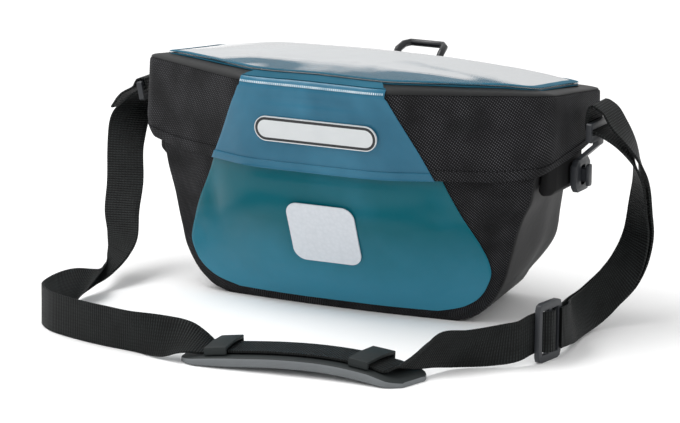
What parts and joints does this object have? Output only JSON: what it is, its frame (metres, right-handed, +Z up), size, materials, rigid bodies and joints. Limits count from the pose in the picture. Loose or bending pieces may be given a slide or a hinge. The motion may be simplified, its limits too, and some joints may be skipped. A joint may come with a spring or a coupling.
{
  "type": "handlebar bag",
  "caption": "Soft bicycle handlebar bag with an overlapping lid, clear map pocket, rear clip block and a shoulder strap on two side hooks.",
  "frame": {"origin": "middle of the bag's flat base, on the ground", "axes": "+Z up, the bag's front faces -Y, +X to the right seen from the front"},
  "size_m": [0.3703, 0.2945, 0.1569],
  "materials": {
    "webbing": "ribbed polyamide webbing",
    "grey_plastic": "moulded, satin",
    "black_plastic": "moulded, satin",
    "loop_rod": "smooth",
    "black_cloth": "coarse weave, matt",
    "patch_cloth": "coated, finely textured",
    "teal_cloth": "coated, semi-gloss",
    "clear_film": "clear film",
    "reflective_sheet": "smooth",
    "badge_plastic": "satin",
    "pad_rubber": "moulded, matt"
  },
  "bodies": {
    "root": {"badge": "badge_plastic", "bag_body": "black_cloth", "bridge_left": "pad_rubber", "bridge_right": "pad_rubber", "front_panel": "teal_cloth", "hook_left": "grey_plastic", "hook_right": "grey_plastic", "lid": "black_cloth", "lid_strip": "teal_cloth", "loop_handle": "loop_rod", "map_pocket": "clear_film", "pocket_base": "teal_cloth", "rear_adapter": "black_plastic", "reflector": "reflective_sheet", "shoulder_pad": "pad_rubber", "side_stud_left": "grey_plastic", "side_stud_right": "grey_plastic", "side_tab_left": "patch_cloth", "side_tab_right": "patch_cloth", "slider": "grey_plastic", "strap_front_left": "webbing", "strap_front_right": "webbing", "strap_left": "webbing", "strap_pad": "webbing", "strap_return": "webbing", "strap_right": "webbing", "strap_slider": "webbing", "strap_tail": "webbing"}
  },
  "joints": []
}
